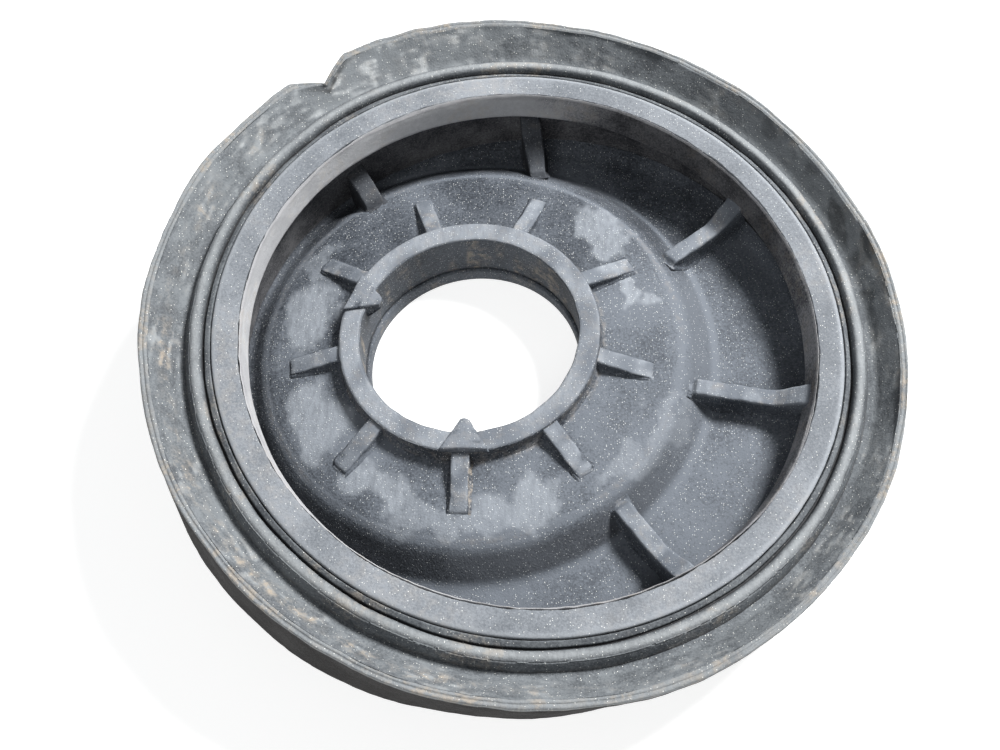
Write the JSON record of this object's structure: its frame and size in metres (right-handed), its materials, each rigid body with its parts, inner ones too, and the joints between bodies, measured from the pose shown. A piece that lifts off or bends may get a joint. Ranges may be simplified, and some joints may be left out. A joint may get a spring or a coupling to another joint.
{
  "type": "flanged rubber boot",
  "caption": "Round moulded rubber cup with a leaning sealing lip and bead, an offset collared bore in a domed floor, and stiffening ribs.",
  "frame": {"origin": "on the neck's axis, in the plane that the neck's lip and the bowl's wall end in", "axes": "+Z along the neck's axis, from its lip up through the collar; the lowest side of the leaning rim is near +X"},
  "size_m": [0.1708, 0.168, 0.04],
  "materials": {
    "rim_rubber": "weathered, dusty, faintly mottled",
    "ring_rubber": "worn smooth, light grey bloom",
    "dish_rubber": "matte with sand grains and pale scuffs",
    "insert_steel": "hidden inside the rubber"
  },
  "bodies": {
    "root": {"lip_skirt": "rim_rubber", "bead_ring": "rim_rubber", "flat_ring": "ring_rubber", "hoop_insert": "insert_steel", "bowl_wall": "dish_rubber", "dome_floor": "dish_rubber", "neck_collar": "dish_rubber", "neck_lip": "dish_rubber", "short_ribs": "dish_rubber", "long_ribs": "dish_rubber", "pointer_pips": "dish_rubber"}
  },
  "joints": []
}
